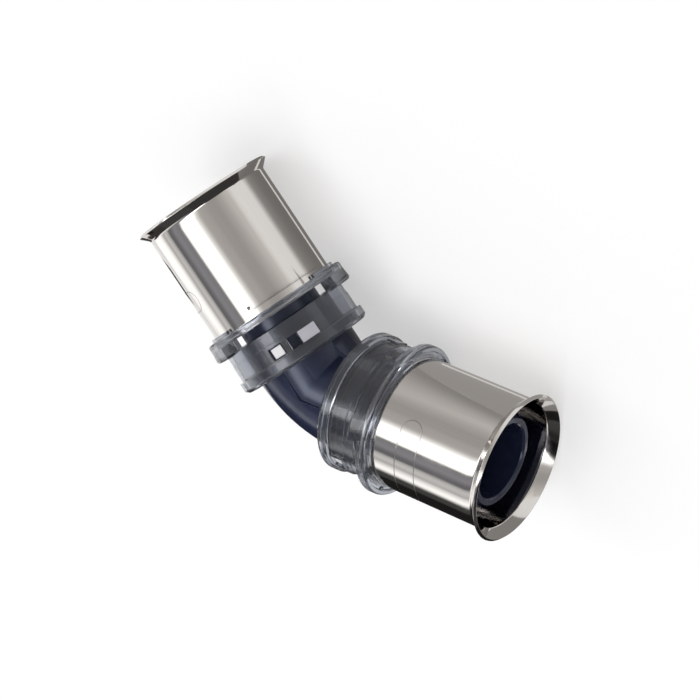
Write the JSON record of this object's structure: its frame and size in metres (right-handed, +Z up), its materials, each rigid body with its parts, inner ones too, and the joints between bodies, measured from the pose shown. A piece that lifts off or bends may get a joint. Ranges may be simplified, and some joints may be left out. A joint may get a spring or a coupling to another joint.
{
  "type": "press elbow",
  "caption": "Press elbow that turns a plastic composite pipe by 45 degrees, with flared steel press sleeves in clear holders and sealed spigots.",
  "frame": {"origin": "middle of the underside of the elbow's bounding box as it lies flat", "axes": "+Z up from the ground on which the elbow lies, +X from arm a to arm b, +Y towards the inside of the bend; each arm rises 22.5 degrees from X towards +Y"},
  "size_m": [0.1564, 0.0676, 0.0512],
  "materials": {
    "body": "glossy moulded dark navy plastic",
    "sleeve": "polished stainless steel sheet",
    "holder": "clear smoke-grey moulded plastic",
    "seal": "black rubber"
  },
  "bodies": {
    "root": {"elbow_body": "body", "press_sleeve_a": "sleeve", "press_sleeve_b": "sleeve", "sleeve_holder_a": "holder", "sleeve_holder_b": "holder", "inner_seal_a": "seal", "outer_seal_a": "seal", "inner_seal_b": "seal", "outer_seal_b": "seal"}
  },
  "joints": []
}
